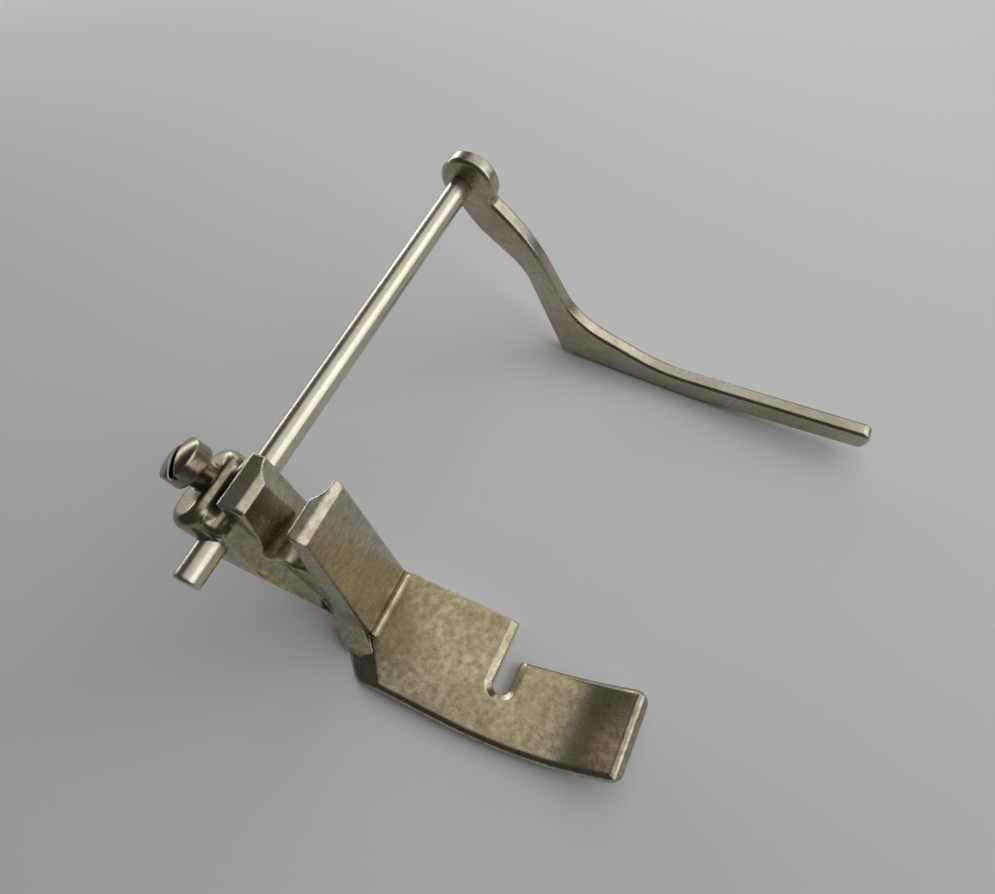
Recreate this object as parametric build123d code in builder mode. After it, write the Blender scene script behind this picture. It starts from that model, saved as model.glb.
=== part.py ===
import os
from math import atan2, cos, degrees, radians, sin, sqrt, tan

from build123d import *

# Sewing machine presser foot with an adjustable edge guide, in millimetres.
# X points to the operator's right, Y to the back of the machine, Z up.
# The origin is on the underside of the sole, straight below the presser bar.

# Presser bar and the screw that clamps the foot to it
bar_diameter = 7.0
slot_width = 4.6           # fork slot for the machine's clamp screw
slot_back = 0.85           # middle of its round end, behind the presser bar
slot_lean = 6.0            # the slot leans back on its way down
clamp_height = 25.0        # round end of the slot above the underside
saddle_drop = 5.5          # round end of the slot to the lower end of the half round saddle

# Shank and fork
prong_rise = 9.8           # the prongs stand above the round end of the slot
shank_front = -4.4         # flat front face
prong_back = 4.8           # back of the rear prong
fork_left = -6.4           # sides of the fork at its top
fork_right = 0.15
shank_left = -7.1          # sides of the shank where it meets the sole
shank_right = 2.5
fork_taper = 5.6           # the right side comes in towards the back
neck_back = 1.2            # back of the slim lower shank
neck_height = 6.0
shank_round = 0.4          # front edges of the shank
rim_round = 0.5            # left edge of the slot
fork_bevel = 0.8           # bright bevel along the front of each prong top
bevel_drop = 0.45

# Boss for the guide rod
rod_diameter = 3.0
rod_back = 7.2             # rod axis behind the presser bar
rod_rise = 2.2             # and above the round end of the slot
boss_left = -9.0
boss_right = 0.0
boss_front = 2.3           # screw axis to the front of the boss
boss_rear = 2.7
boss_reach = 4.6           # rod axis to the face under the screw head
boss_under = 3.6           # rod axis to the underside of the boss
boss_corner = 2.4
boss_round = 1.1           # edge round the face under the screw head
boss_belly = 1.8
hollow_rise = 4.3          # rod axis to the top of the hollow behind the rear prong
web_front = 3.2            # the web begins to flare left here
web_lean = 0.25            # the flare comes forward on its way down
web_shoulder = 5.2
web_left = -8.0            # left end of the hollow
web_right = -0.5
web_round = 0.6            # rim of the hollow at that end
web_drop = 4.2             # the flare narrows to the shank this far below the rod axis
belly_back = 6.6           # bulge of the web at the back
belly_drop = 8.6           # rod axis to that bulge
web_waist = (2.9, 13.6)
web_way = (0.4, 1)         # the web's back runs into the boss this way

# Clamp screw of the guide
screw_angle = 57.0         # above the horizontal, pointing back
screw_across = -3.8        # screw axis left of the presser bar
screw_diameter = 3.0
head_diameter = 4.8
head_height = 2.3          # to the top of its dome
head_gap = 1.5             # the head stands off its seat
head_dome = 0.55
driver_turn = 30.0         # the driver slot as the screw was left
driver_width = 0.8
driver_depth = 1.1

# Sole
sole_thick = 2.0
sole_left = -12.4
sole_right = 2.6
sole_back = 1.2
sole_edge = 0.8            # rounding along the upper edge
flare_front = -5.3         # the left rear corner is cut off towards the shank
flare_start = -8.7         # upper edge of the slope at that corner, on the sole's left edge
flare_end = -4.6           # and where it reaches the shank
flare_slope = 31.0
flare_height = 7.5         # the shank starts to spread towards that corner
flare_foot = (-9.6, 0.9)   # end of that spread, X and Z
crease_round = 0.9

# Needle notch and toe
notch_back = -20.7
notch_front = -23.0
notch_end = -6.3
notch_bevel = 0.9          # bevel round the notch, seen from above
notch_drop = 0.7
toe_front = -38.7
toe_bend = -26.5           # the toe turns up in front of this line
toe_radius = 20.0
toe_thick = 1.7
toe_right_back = -1.8
toe_right_front = 1.2
toe_left_front = -9.6
toe_corner = 1.6
toe_sweep = -16.7          # the left edge curves in to the toe from here

# Guide rod and arm
rod_left = -13.0
rod_bevel = 0.25
arm_near = 45.1            # face of the arm that the rod butts against
arm_thick = 2.3
eye_radius = 3.8
eye_shift = (-0.8, 0.4)     # rod axis to the middle of the eye
tenon_diameter = 2.0
rivet_diameter = 3.0
rivet_height = 0.45
rivet_bevel = 0.3
arm_bevel = 0.4            # bevel along the arm's outline
leg_top_angle = 207.0      # the leg's two edges run into the eye here
leg_neck_angle = -59.0
leg_overlap = 0.2
knee_front = (-10.0, -6.2)  # corners of the leg's upper half, from the rod axis
knee_back = (-8.9, -11.4)
throat = (-2.2, -6.6)
shin_front = (-10.3, 7.7)
finger_root = (-24.4, 3.4)
knee_front_round = 25.0
knee_back_round = 10.0
throat_round = 8.0
shin_round = 12.5
root_round = 22.0
eye_joint = 0.8            # rounding where the leg meets the eye
heel = (-8.6, 0.4)
finger_belly = (-29.0, 0.0)
finger_tip_top = (-54.5, 6.2)
finger_tip_under = (-54.6, 2.85)
finger_round = 1.3

# Fits
rod_play = 0.05            # radial play of the rod in its bore
screw_play = 0.05
tip_play = 0.04            # screw tip to rod
tenon_play = 0.04
arm_play = 0.04            # arm between the rod's shoulder and the rivet

# Worked out
bar_radius = bar_diameter / 2
shank_height = clamp_height + prong_rise
saddle_bottom = clamp_height - saddle_drop
rod_height = clamp_height + rod_rise
rod_point = Vector(rod_back, rod_height)
web_top = rod_height + hollow_rise
web_low = rod_height - web_drop
web_belly = (belly_back, rod_height - belly_drop)
eye_middle = rod_point + Vector(eye_shift)
leg_end = Vector(eye_radius - leg_overlap, 0)
leg_bends = [
    (rod_point + Vector(knee_front), knee_front_round),
    (Vector(shin_front), shin_round),
    (Vector(finger_root), root_round),
    (rod_point + Vector(knee_back), knee_back_round),
    (rod_point + Vector(throat), throat_round),
]
leg_corners = [corner for corner, bend in leg_bends]
rod_radius = rod_diameter / 2
boss_middle = (boss_left + boss_right) / 2
boss_width = boss_right - boss_left
boss_back = rod_back + boss_reach + boss_rear
sole_width = sole_right - sole_left
screw_way = (0, cos(radians(screw_angle)), sin(radians(screw_angle)))
screw_axis = Axis((screw_across, rod_back, rod_height), screw_way)
screw_plane = Plane(origin=screw_axis.position, x_dir=(1, 0, 0), z_dir=screw_way)
head_seat = boss_reach + head_gap
head_top = head_seat + head_height
head_radius = head_diameter / 2
dome_radius = (head_radius**2 + head_dome**2) / (2 * head_dome)
web_start = (rod_back + boss_rear / 2, rod_height - boss_under / 2)
screw_rise = radians(screw_angle)
hollow_reach = boss_reach - boss_round
hollow_end = (
    rod_back - boss_front * sin(screw_rise) + hollow_reach * cos(screw_rise),
    rod_height + boss_front * cos(screw_rise) + hollow_reach * sin(screw_rise),
)
flare_way = Vector(shank_left - sole_left, flare_end - flare_start, 0).normalized()
flare_plane = Plane(
    origin=(sole_left, flare_start, sole_thick),
    x_dir=(flare_way.Y, -flare_way.X, 0),
    z_dir=flare_way,
)
flare_rise = sole_width * tan(radians(flare_slope))
slot_slant = radians(slot_lean)
slot_mouth = slot_back + slot_width / 2 / cos(slot_slant) - (shank_height - clamp_height) * tan(slot_slant)
flare_side = shank_left + (fork_left - shank_left) * flare_height / shank_height
fork_narrowing = (boss_back - shank_front) * tan(radians(fork_taper))
crease_top = (shank_front, sole_thick + crease_round)
crease_foot = (shank_front - crease_round, sole_thick)
notch_middle = (notch_back + notch_front) / 2
notch_width = notch_back - notch_front
toe_run = toe_bend - toe_front
toe_rise = toe_radius - sqrt(toe_radius**2 - toe_run**2)

os.makedirs("parts", exist_ok=True)


# Sole: side profile with the toe turned up, trimmed to its plan
with BuildPart() as sole_form:
    with BuildSketch(Plane.YZ.offset(sole_left)):
        with BuildLine():
            Line((sole_back, 0), (toe_bend, 0))
            under = RadiusArc((toe_bend, 0), (toe_front, toe_rise), toe_radius)
            tip = under @ 1
            tip_way = under % 1
            tip_top = tip + Vector(tip_way.Y, -tip_way.X) * toe_thick
            Line(tip, tip_top)
            TangentArc((toe_bend, sole_thick), tip_top, tangent=(-1, 0))
            Polyline((toe_bend, sole_thick), (sole_back, sole_thick), (sole_back, 0))
        make_face()
    extrude(amount=sole_width)
    with BuildSketch(Plane.XY):
        with BuildLine():
            Polyline(
                (sole_left, toe_sweep),
                (sole_left, flare_front),
                (shank_left, sole_back),
                (sole_right, sole_back),
                (sole_right, notch_middle),
                (toe_right_back, notch_middle),
                (toe_right_front, toe_front),
                (toe_left_front, toe_front),
            )
            TangentArc((sole_left, toe_sweep), (toe_left_front, toe_front), tangent=(0, -1))
        make_face()
        fillet(vertices().group_by(Axis.Y)[0], toe_corner)
    extrude(amount=shank_height, mode=Mode.INTERSECT)
    toe_top = faces().filter_by(GeomType.CYLINDER).sort_by(SortBy.AREA)[-2:].sort_by(Axis.Z)[-1]
    fillet(toe_top.edges().sort_by(Axis.Y)[:-1], sole_edge)
    with BuildSketch(flare_plane):
        with BuildLine():
            Polyline((0, 0), (-sole_width, 0), (-sole_width, flare_rise), close=True)
        make_face()
    extrude(amount=sole_width, both=True, mode=Mode.SUBTRACT)
    with BuildSketch(Plane.XY):
        with Locations((notch_end + notch_width / 2, notch_middle)):
            Circle(notch_width / 2)
            Rectangle(sole_width, notch_width, align=(Align.MIN, Align.CENTER))
    extrude(amount=shank_height, mode=Mode.SUBTRACT)
    with BuildSketch(Plane.XY.offset(sole_thick)):
        with Locations((notch_end + notch_width / 2, notch_middle)):
            Circle(notch_width / 2 + notch_bevel)
            Rectangle(sole_width, notch_width + 2 * notch_bevel, align=(Align.MIN, Align.CENTER))
    extrude(amount=-notch_drop, taper=degrees(atan2(notch_bevel, notch_drop)), mode=Mode.SUBTRACT)

# Side profile shared by the fork and by the web that carries the boss
with BuildSketch(Plane.YZ.offset(boss_left)) as side_profile:
    with BuildLine():
        Line(web_start, hollow_end)
        TangentArc((prong_back, web_top), hollow_end, tangent=(0, -1))
        Polyline(
            (prong_back, web_top),
            (prong_back, shank_height),
            (shank_front + fork_bevel, shank_height),
            (shank_front, shank_height - bevel_drop),
            crease_top,
        )
        TangentArc(crease_top, crease_foot, tangent=(0, -1))
        Polyline(
            crease_foot,
            (crease_foot[0], 0),
            (neck_back, 0),
            (neck_back, neck_height),
        )
        Spline((neck_back, neck_height), web_waist, web_belly, web_start, tangents=((0, 1), web_way))
    make_face()

# Fork slot and saddle, cut through everything that is in their way
with BuildSketch(Plane.YZ.offset(boss_left)) as fork_slot:
    with Locations((slot_back, clamp_height)):
        Circle(slot_width / 2)
        Rectangle(slot_width, shank_height, rotation=slot_lean, align=(Align.CENTER, Align.MIN))
    with BuildLine():
        Polyline(
            (slot_mouth - fork_bevel, shank_height),
            (slot_mouth + fork_bevel, shank_height),
            (slot_mouth - fork_bevel, shank_height - 2 * bevel_drop),
            close=True,
        )
    make_face()
with BuildSketch(Plane.XY.offset(saddle_bottom)) as saddle:
    Circle(bar_radius)

# Fork: tapered shank with its edges rounded and the prong tops bevelled
with BuildPart() as fork_form:
    with BuildSketch(Plane.XZ.offset(-boss_back)):
        with BuildLine():
            Polyline(
                (shank_left, 0),
                (shank_right, 0),
                (fork_right, shank_height),
                (fork_left, shank_height),
                close=True,
            )
        make_face()
    extrude(amount=boss_back - shank_front + crease_round)
    extrude(to_extrude=side_profile.sketch, amount=boss_width + shank_right, mode=Mode.INTERSECT)
    with BuildSketch(Plane.XY):
        with BuildLine():
            Polyline(
                (shank_right, shank_front),
                (shank_right, boss_back),
                (shank_right - fork_narrowing, boss_back),
                close=True,
            )
        make_face()
    extrude(amount=2 * shank_height, dir=(fork_right - shank_right, 0, shank_height), mode=Mode.SUBTRACT)
    extrude(to_extrude=fork_slot.sketch, amount=boss_width + shank_right, mode=Mode.SUBTRACT)
    fillet(edges(Select.LAST).sort_by(Axis.X)[:4], rim_round)
    panel = faces().filter_by(Plane.XZ).sort_by(SortBy.AREA)[-1]
    fillet(panel.edges().filter_by(Axis.X, reverse=True), shank_round)

# Spread of the shank's foot over the cut corner of the sole
with BuildPart() as flare_form:
    with BuildSketch(Plane.XY):
        with BuildLine():
            Polyline(
                (sole_left, flare_start),
                (sole_left, flare_front),
                (shank_left, sole_back),
                (boss_middle, sole_back),
                (boss_middle, shank_front + shank_round),
                (shank_left, shank_front + shank_round),
                close=True,
            )
        make_face()
    extrude(amount=flare_height)
    with BuildSketch(Plane.XZ.offset(-sole_back)):
        with BuildLine():
            Polyline(
                (flare_side, flare_height),
                (boss_middle, flare_height),
                (boss_middle, 0),
                (flare_foot[0], 0),
                flare_foot,
            )
            TangentArc((flare_side, flare_height), flare_foot, tangent=(0, -1))
        make_face()
    extrude(amount=sole_back - flare_start, mode=Mode.INTERSECT)

# Web: widens to the left below the boss
with BuildPart() as web_form:
    with BuildSketch(Plane.XY.offset(web_top)):
        with BuildLine():
            Polyline(
                (boss_left, web_shoulder),
                (boss_left, boss_back),
                (web_right, boss_back),
                (web_right, web_front),
                (fork_left, web_front),
            )
            TangentArc((fork_left, web_front), (boss_left, web_shoulder), tangent=(0, 1))
        make_face()
    extrude(amount=web_top, dir=(0, -web_lean, -1))
    extrude(to_extrude=side_profile.sketch, amount=boss_width + shank_right, mode=Mode.INTERSECT)
    with BuildSketch(Plane.XZ.offset(-boss_back)):
        with BuildLine():
            Polyline(
                (shank_left, neck_height),
                (web_right, neck_height),
                (web_right, web_top),
                (web_left, web_top),
                (boss_left, web_low),
                close=True,
            )
        make_face()
    extrude(amount=boss_back, mode=Mode.INTERSECT)
    hollow = faces().filter_by(GeomType.CYLINDER).sort_by(Axis.Z)[-1]
    fillet(hollow.edges().sort_by(Axis.X)[:2], web_round)

# Boss: a rounded block along the screw, with the rod through it
with BuildPart() as boss_form:
    with BuildSketch(screw_plane.offset(-boss_under)):
        with Locations((boss_middle - screw_across, (boss_rear - boss_front) / 2)):
            RectangleRounded(boss_width, boss_front + boss_rear, boss_corner)
    extrude(amount=boss_under + boss_reach)
    fillet(faces().sort_by(screw_axis)[-1].edges(), boss_round)
    fillet(faces().sort_by(screw_axis)[0].edges(), boss_belly)

with BuildPart() as foot:
    add(sole_form.part)
    add(fork_form.part)
    add(flare_form.part)
    add(web_form.part)
    add(boss_form.part)
    extrude(to_extrude=fork_slot.sketch, amount=boss_width + shank_right, mode=Mode.SUBTRACT)
    extrude(to_extrude=saddle.sketch, amount=shank_height - saddle_bottom, mode=Mode.SUBTRACT)
    with BuildSketch(Plane.YZ.offset(boss_left)):
        with Locations(rod_point):
            Circle(rod_radius + rod_play)
    extrude(amount=boss_width + shank_right, mode=Mode.SUBTRACT)
    with BuildSketch(screw_plane):
        Circle(screw_diameter / 2 + screw_play)
    extrude(amount=boss_reach, mode=Mode.SUBTRACT)
foot.part.label = "foot"
export_step(foot.part, "parts/foot.step")

# Guide rod: turned down to a tenon that is riveted over behind the arm
with BuildPart() as guide_rod:
    with BuildSketch(Plane.YZ.offset(rod_left)):
        with Locations(rod_point):
            Circle(rod_radius)
    extrude(amount=arm_near - arm_play - rod_left)
    chamfer(edges().group_by(Axis.X)[0], rod_bevel)
    with BuildSketch(Plane.YZ.offset(arm_near - arm_play)):
        with Locations(rod_point):
            Circle(tenon_diameter / 2)
    extrude(amount=arm_thick + 2 * arm_play)
    with BuildSketch(Plane.YZ.offset(arm_near + arm_thick + arm_play)):
        with Locations(rod_point):
            Circle(rivet_diameter / 2)
    extrude(amount=rivet_height)
    chamfer(edges().group_by(Axis.X)[-1], rivet_bevel)
guide_rod.part.label = "guide_rod"
export_step(guide_rod.part, "parts/guide_rod.step")

# Guide arm: flat plate with a round eye, a cranked leg and a long finger
with BuildPart() as guide_arm:
    with BuildSketch(Plane.YZ.offset(arm_near)):
        with BuildLine():
            Polyline(
                eye_middle,
                eye_middle + leg_end.rotate(Axis.Z, leg_top_angle),
                *leg_corners[:3],
                finger_tip_top,
                finger_tip_under,
                finger_belly,
                heel,
                *leg_corners[3:],
                eye_middle + leg_end.rotate(Axis.Z, leg_neck_angle),
                close=True,
            )
        make_face()
        for corner, bend in leg_bends:
            fillet(vertices().sort_by_distance(corner)[0], bend)
        fillet(vertices().sort_by(Axis.X)[:2], finger_round)
        with Locations(eye_middle):
            Circle(eye_radius)
        fillet(vertices().sort_by(Axis.Y)[-2:], eye_joint)
        with Locations(rod_point):
            Circle(tenon_diameter / 2 + tenon_play, mode=Mode.SUBTRACT)
    extrude(amount=arm_thick)
    for side in faces().filter_by(Plane.YZ):
        chamfer(side.outer_wire().edges(), arm_bevel)
guide_arm.part.label = "guide_arm"
export_step(guide_arm.part, "parts/guide_arm.step")

# Clamp screw: slotted head with a domed end
with BuildPart() as screw_head:
    with BuildSketch(screw_plane.offset(head_seat)):
        Circle(head_radius)
    extrude(amount=head_height)
    with Locations(screw_plane.offset(head_top - dome_radius)):
        Sphere(dome_radius, mode=Mode.INTERSECT)
    with BuildSketch(screw_plane.offset(head_top - driver_depth)):
        Rectangle(2 * head_diameter, driver_width, rotation=driver_turn)
    extrude(amount=driver_depth, mode=Mode.SUBTRACT)

with BuildPart() as clamp_screw:
    add(screw_head.part)
    with BuildSketch(screw_plane.offset(rod_radius + tip_play)):
        Circle(screw_diameter / 2)
    extrude(amount=head_seat - rod_radius - tip_play)
clamp_screw.part.label = "clamp_screw"
export_step(clamp_screw.part, "parts/clamp_screw.step")
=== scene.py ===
# Presser foot with an edge guide: nickel plate over steel, worn and tarnished by use.
from math import cos, radians, sin

import bpy
from mathutils import Matrix, Vector


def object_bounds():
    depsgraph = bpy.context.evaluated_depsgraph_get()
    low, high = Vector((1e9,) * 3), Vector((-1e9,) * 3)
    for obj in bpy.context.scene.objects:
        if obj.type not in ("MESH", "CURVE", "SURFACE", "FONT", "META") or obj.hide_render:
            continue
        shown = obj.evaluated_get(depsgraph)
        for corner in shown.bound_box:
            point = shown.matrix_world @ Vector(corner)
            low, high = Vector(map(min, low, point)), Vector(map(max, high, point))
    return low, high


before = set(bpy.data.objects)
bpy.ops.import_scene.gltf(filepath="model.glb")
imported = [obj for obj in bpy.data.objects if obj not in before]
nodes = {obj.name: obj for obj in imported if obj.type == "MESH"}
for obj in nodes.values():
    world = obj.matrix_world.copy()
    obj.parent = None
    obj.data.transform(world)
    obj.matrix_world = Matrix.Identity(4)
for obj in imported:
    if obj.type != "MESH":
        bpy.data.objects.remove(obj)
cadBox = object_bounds()
mm = 0.001    # in metres
print("frame loaded:", ", ".join(sorted(nodes)))


def hexColor(code):
    # sRGB hex to linear RGBA
    parts = [int(code[i:i + 2], 16) / 255 for i in (0, 2, 4)]
    return [c / 12.92 if c <= 0.04045 else ((c + 0.055) / 1.055) ** 2.4 for c in parts] + [1.0]


def addNode(tree, kind, settings=None, links=None):
    # settings: a socket by name or number, or a property of the node; links: socket to output
    node = tree.nodes.new(kind)
    sockets = {}
    for key, value in (settings or {}).items():
        if isinstance(key, str) and hasattr(node, key):
            setattr(node, key, value)
        else:
            sockets[key] = value
    for key, value in sockets.items():
        node.inputs[key].default_value = value
    for key, output in (links or {}).items():
        tree.links.new(output, node.inputs[key])
    return node


def newTree(owner):
    owner.use_nodes = True
    owner.node_tree.nodes.clear()
    return owner.node_tree


# Nickel plate over steel: a warm grey metal, gone dull in clouds and brown in fine mottling, with
# scuffs along the grain, painted shade in the recesses, and bare bright metal with a painted highlight on the
# edges.
def nickelPlate(name, look):
    material = bpy.data.materials.new(name)
    tree = newTree(material)
    place = addNode(tree, "ShaderNodeTexCoord").outputs["Object"]
    flat = addNode(tree, "ShaderNodeNewGeometry").outputs["Normal"]

    # tarnish: broad clouds from bright to dull
    clouds = addNode(tree, "ShaderNodeTexNoise",
                     {"Scale": 1 / (look["cloudSize"] * mm), "Detail": 5.0, "Roughness": 0.62,
                      "Distortion": 0.6},
                     {"Vector": place})
    cloudRamp = addNode(tree, "ShaderNodeMapRange",
                        {"From Min": look["cloudLevels"][0], "From Max": look["cloudLevels"][1]},
                        {"Value": clouds.outputs["Fac"]})
    plate = addNode(tree, "ShaderNodeMix",
                    {"data_type": "RGBA", 6: hexColor(look["bright"]), 7: hexColor(look["dull"])},
                    {0: cloudRamp.outputs["Result"]})

    # yellow tint: only on what faces up, low down, so on the sole's top
    height = addNode(tree, "ShaderNodeSeparateXYZ", None, {0: place})
    low = addNode(tree, "ShaderNodeMapRange",
                  {"From Min": look["yellowTop"] * mm,
                   "From Max": (look["yellowTop"] - look["yellowFade"]) * mm,
                   "To Max": look["yellowShare"]},
                  {"Value": height.outputs["Z"]})
    facing = addNode(tree, "ShaderNodeSeparateXYZ", None, {0: flat})
    level = addNode(tree, "ShaderNodeMapRange",
                    {"From Min": look["levelFrom"], "From Max": look["levelTo"]},
                    {"Value": facing.outputs["Z"]})
    soleTop = addNode(tree, "ShaderNodeMath", {"operation": "MULTIPLY"},
                      {0: low.outputs["Result"], 1: level.outputs["Result"]})
    yellowTinted = addNode(tree, "ShaderNodeMix",
                       {"data_type": "RGBA", "blend_type": "MULTIPLY", 7: hexColor(look["yellow"])},
                       {0: soleTop.outputs["Value"], 6: plate.outputs[2]})

    # mottling: fine brown stains
    mottle = addNode(tree, "ShaderNodeTexNoise",
                     {"Scale": 1 / (look["mottleSize"] * mm), "Detail": 6.0, "Roughness": 0.7},
                     {"Vector": place})
    mottleRamp = addNode(tree, "ShaderNodeMapRange",
                         {"From Min": look["mottleLevels"][0], "From Max": look["mottleLevels"][1],
                          "To Max": look["mottleShare"]},
                         {"Value": mottle.outputs["Fac"]})
    stained = addNode(tree, "ShaderNodeMix",
                      {"data_type": "RGBA", 7: hexColor(look["stain"])},
                      {0: mottleRamp.outputs["Result"], 6: yellowTinted.outputs[2]})

    # pits and specks
    cells = addNode(tree, "ShaderNodeTexVoronoi",
                    {"Scale": 1 / (look["speckGap"] * mm), "Randomness": 1.0},
                    {"Vector": place})
    specks = addNode(tree, "ShaderNodeMapRange",
                     {"From Min": look["speckReach"][0], "From Max": look["speckReach"][1],
                      "To Max": look["speckShare"]},
                     {"Value": cells.outputs["Distance"]})
    specked = addNode(tree, "ShaderNodeMix",
                      {"data_type": "RGBA", 7: hexColor(look["speck"])},
                      {0: specks.outputs["Result"], 6: stained.outputs[2]})

    # painted shade: a dark colour laid by occlusion in the slot, the hollows and the corners, where shade
    # falls
    shelter = addNode(tree, "ShaderNodeAmbientOcclusion",
                      {"samples": 8, "only_local": True, "Distance": look["paintedShadeReach"] * mm})
    paintedShade = addNode(tree, "ShaderNodeMapRange",
                    {"From Min": look["paintedShadeLevels"][0], "From Max": look["paintedShadeLevels"][1],
                     "To Max": look["paintedShadeShare"]},
                    {"Value": shelter.outputs["AO"]})
    paintedShaded = addNode(tree, "ShaderNodeMix",
                    {"data_type": "RGBA", 7: hexColor(look["paintedShade"])},
                    {0: paintedShade.outputs["Result"], 6: specked.outputs[2]})

    # scuffs: noise drawn out along the grain
    grain = addNode(tree, "ShaderNodeMapping",
                    {"Rotation": [radians(a) for a in look["grainTurn"]],
                     "Scale": [1 / (s * mm) for s in look["grainSize"]]},
                    {"Vector": place})
    scuffs = addNode(tree, "ShaderNodeTexNoise",
                     {"Scale": 1.0, "Detail": 4.0, "Roughness": 0.65},
                     {"Vector": grain.outputs["Vector"]})

    # worn edges and painted highlight: a lighter colour where a rounded normal leaves the flat one, partly
    # bare metal worn through, partly a painted highlight on the edges
    rounded = addNode(tree, "ShaderNodeBevel", {"samples": 6, "Radius": look["edgeWidth"] * mm})
    meet = addNode(tree, "ShaderNodeVectorMath", {"operation": "DOT_PRODUCT"},
                   {0: rounded.outputs["Normal"], 1: flat})
    edge = addNode(tree, "ShaderNodeMapRange",
                   {"From Min": look["edgeLevels"][0], "From Max": look["edgeLevels"][1],
                    "To Max": look["edgeShare"]},
                   {"Value": meet.outputs["Value"]})
    wearAndHighlight = addNode(tree, "ShaderNodeMix",
                   {"data_type": "RGBA", 7: hexColor(look["wearAndHighlight"])},
                   {0: edge.outputs["Result"], 6: paintedShaded.outputs[2]})

    # surface: the stains and scuffs also take the gloss and give a slight relief
    gloss = addNode(tree, "ShaderNodeMapRange",
                    {"From Min": look["glossLevels"][0], "From Max": look["glossLevels"][1],
                     "To Min": look["rough"][0], "To Max": look["rough"][1]},
                    {"Value": mottle.outputs["Fac"]})
    scuffed = addNode(tree, "ShaderNodeMath", {"operation": "MULTIPLY_ADD", 1: look["scuffRough"]},
                      {0: scuffs.outputs["Fac"], 2: gloss.outputs["Result"]})
    relief = addNode(tree, "ShaderNodeMath", {"operation": "MULTIPLY_ADD", 1: look["mottleRelief"]},
                     {0: mottle.outputs["Fac"], 2: scuffs.outputs["Fac"]})
    bump = addNode(tree, "ShaderNodeBump",
                   {"Strength": look["bump"], "Distance": look["bumpDepth"] * mm},
                   {"Height": relief.outputs["Value"], "Normal": rounded.outputs["Normal"]})
    metal = addNode(tree, "ShaderNodeBsdfPrincipled", {"Metallic": 1.0},
                    {"Base Color": wearAndHighlight.outputs[2], "Roughness": scuffed.outputs["Value"],
                     "Normal": bump.outputs["Normal"]})
    addNode(tree, "ShaderNodeOutputMaterial", None, {"Surface": metal.outputs["BSDF"]})
    return material


def dress(nodeName, material):
    mesh = nodes[nodeName].data
    mesh.materials.clear()
    mesh.materials.append(material)


# Sizes are in mm, shares run from 0 to 1, and levels are where a mask starts and where it is full.
footLook = {
    "bright": "c6bfae", "dull": "aca48f", "cloudSize": 8.0, "cloudLevels": (0.36, 0.64),
    "yellow": "fbf8e0", "yellowTop": 4.0, "yellowFade": 2.0, "yellowShare": 0.9,   # heights above the cloth
    "levelFrom": 0.7, "levelTo": 0.9,                          # upward part of the normal
    "stain": "877d60", "mottleSize": 0.9, "mottleLevels": (0.38, 0.66), "mottleShare": 0.75,
    "speck": "5a4e38", "speckGap": 1.6, "speckReach": (0.16, 0.06), "speckShare": 0.25,   # reach in gaps
    # painted shade: dark colour laid by occlusion in the slot, hollows and corners
    "paintedShade": "2e271d", "paintedShadeReach": 4.5, "paintedShadeLevels": (0.80, 0.35), "paintedShadeShare": 0.9,
    "grainSize": (0.5, 4.0, 0.5), "grainTurn": (0, 0, 8),      # across and along, then degrees
    # edges: lighter colour, partly worn bare metal, partly a painted highlight
    "wearAndHighlight": "d8d2c3", "edgeWidth": 0.35, "edgeLevels": (0.985, 0.86), "edgeShare": 0.85,
    "rough": (0.17, 0.30), "glossLevels": (0.3, 0.7), "scuffRough": 0.06,
    "mottleRelief": 0.6, "bump": 0.22, "bumpDepth": 0.05,
}
dress("foot", nickelPlate("nickelPlateTarnished", footLook))

rodLook = dict(footLook, bright="d0ccbc", dull="c6c1ae", stain="b4ac97", mottleShare=0.25, speckShare=0.1,
               yellowShare=0.0, paintedShadeShare=0.0, grainSize=(9.0, 0.5, 0.5), grainTurn=(0, 0, 0),
               rough=(0.24, 0.30), scuffRough=0.03, bump=0.03)
dress("guide_rod", nickelPlate("nickelPlateDrawnRod", rodLook))

armLook = dict(footLook, bright="bdb6a6", dull="aaa18f", stain="8c816a", cloudSize=7.0, mottleShare=0.4,
               speckShare=0.1, yellowShare=0.0, grainSize=(0.5, 5.0, 1.0), grainTurn=(0, 0, 0),
               rough=(0.18, 0.32))
dress("guide_arm", nickelPlate("nickelPlateStampedArm", armLook))

screwLook = dict(footLook, bright="a59e8e", dull="938b7a", cloudSize=4.0, mottleSize=0.7, yellowShare=0.0,
                 grainSize=(0.5, 0.5, 0.5), rough=(0.13, 0.24))
dress("clamp_screw", nickelPlate("nickelPlateTurnedScrew", screwLook))
print("metal finished on", len(nodes), "nodes")

# Floor: plain pale sheet of matt paper, which scatters light evenly and has no gloss
floorSheet = {"size": 1.6, "color": "dadada", "drop": 0.02 * mm}


def layFloor(sheet):
    half = sheet["size"] / 2
    low = cadBox[0].z - sheet["drop"]
    mesh = bpy.data.meshes.new("floor")
    mesh.from_pydata([(-half, -half, low), (half, -half, low), (half, half, low), (-half, half, low)],
                     [], [(0, 1, 2, 3)])
    floor = bpy.data.objects.new("floor", mesh)
    bpy.context.scene.collection.objects.link(floor)
    paper = bpy.data.materials.new("mattPaper")
    tree = newTree(paper)
    matt = addNode(tree, "ShaderNodeBsdfDiffuse", {"Color": hexColor(sheet["color"])})
    addNode(tree, "ShaderNodeOutputMaterial", None, {"Surface": matt.outputs["BSDF"]})
    mesh.materials.append(paper)


layFloor(floorSheet)

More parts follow.
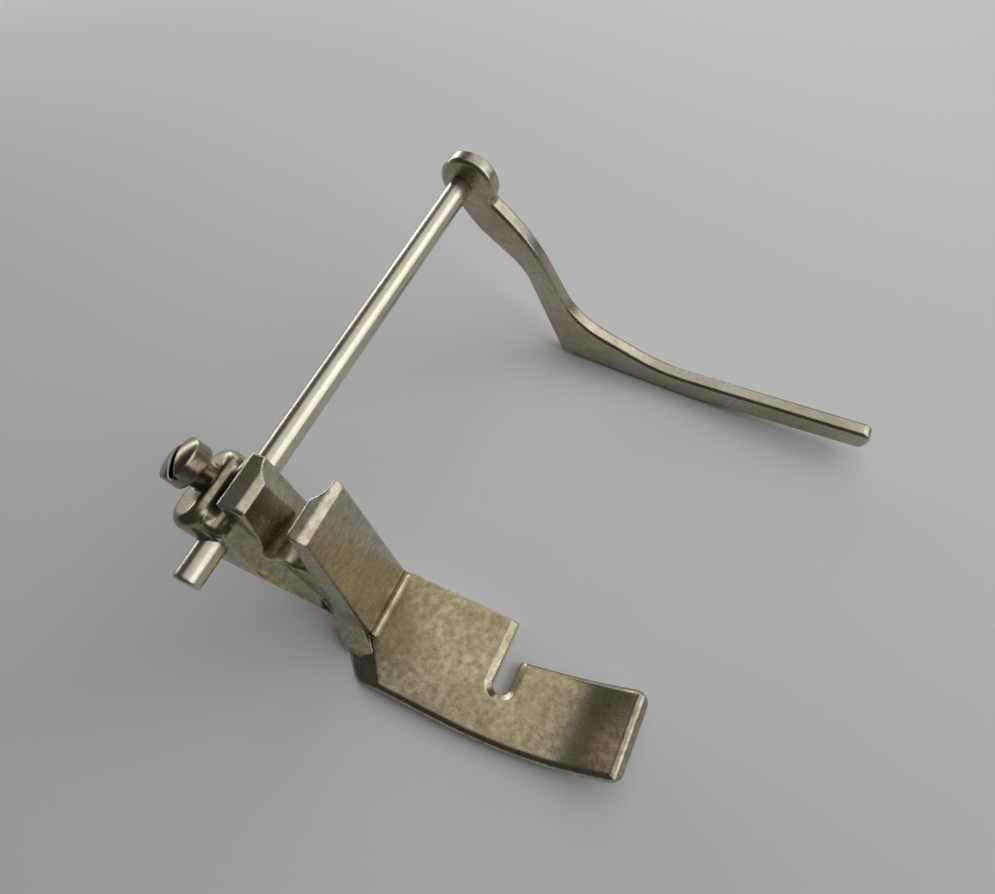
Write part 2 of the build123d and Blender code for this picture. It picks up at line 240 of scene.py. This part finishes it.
# Light: a broad window on the right, a soft ceiling over the far side, two low pale walls behind.
# Turn and rise are degrees about the aim, lengths are metres and power is watts.
lamps = {
    "windowLamp": {"turn": 286, "rise": 36, "away": 0.60, "wide": 0.74, "high": 0.50, "power": 1.85},
    "ceilingLamp": {"turn": -10, "rise": 62, "away": 0.22, "wide": 0.22, "high": 0.30, "power": 0.175},
    "wallLamp": {"turn": 28, "rise": 12, "away": 0.26, "wide": 0.30, "high": 0.08, "power": 0.120},
    "doorLamp": {"turn": 68, "rise": 10, "away": 0.29, "wide": 0.26, "high": 0.06, "power": 0.160},
}
aim = Vector((12, -18, 0)) * mm
for lampName, lamp in lamps.items():
    turn, rise = radians(lamp["turn"]), radians(lamp["rise"])
    way = Vector((cos(rise) * cos(turn), cos(rise) * sin(turn), sin(rise)))
    data = bpy.data.lights.new(lampName, "AREA")
    data.shape = "RECTANGLE"
    data.size = lamp["wide"]
    data.size_y = lamp["high"]
    data.energy = lamp["power"]
    light = bpy.data.objects.new(lampName, data)
    light.location = aim + way * lamp["away"]
    light.rotation_mode = "QUATERNION"
    light.rotation_quaternion = (-way).to_track_quat("-Z", "Y")
    bpy.context.scene.collection.objects.link(light)

room = {"color": "fffdfa", "strength": 0.06}                   # dim light from all around
world = bpy.data.worlds.new("room")
bpy.context.scene.world = world
tree = newTree(world)
glow = addNode(tree, "ShaderNodeBackground", {"Color": hexColor(room["color"]), "Strength": room["strength"]})
addNode(tree, "ShaderNodeOutputWorld", None, {"Surface": glow.outputs["Background"]})
print("floor, lamps and room set")

# Camera: close above the sole's left front corner
view = {
    "at": (-16.425, -29.046, 90.382),          # mm
    "right": (0.43, -0.90251, -0.02406),
    "down": (-0.80507, -0.37124, -0.46264),
    "lens": 24.85, "sensor": 36.0,             # mm
    "nearest": 5.0,                            # mm, the start of what the camera sees
}
right = Vector(view["right"]).normalized()
forward = right.cross(Vector(view["down"])).normalized()
up = right.cross(forward)
facing = Matrix((right, up, -forward)).transposed().to_4x4()
camera = bpy.data.objects.new("camera", bpy.data.cameras.new("camera"))
camera.data.sensor_fit = "HORIZONTAL"
camera.data.sensor_width = view["sensor"]
camera.data.lens = view["lens"]
camera.data.clip_start = view["nearest"] * mm
camera.matrix_world = Matrix.Translation(Vector(view["at"]) * mm) @ facing
bpy.context.scene.collection.objects.link(camera)
bpy.context.scene.camera = camera
bpy.context.scene.view_settings.view_transform = "Standard"
print("camera set")
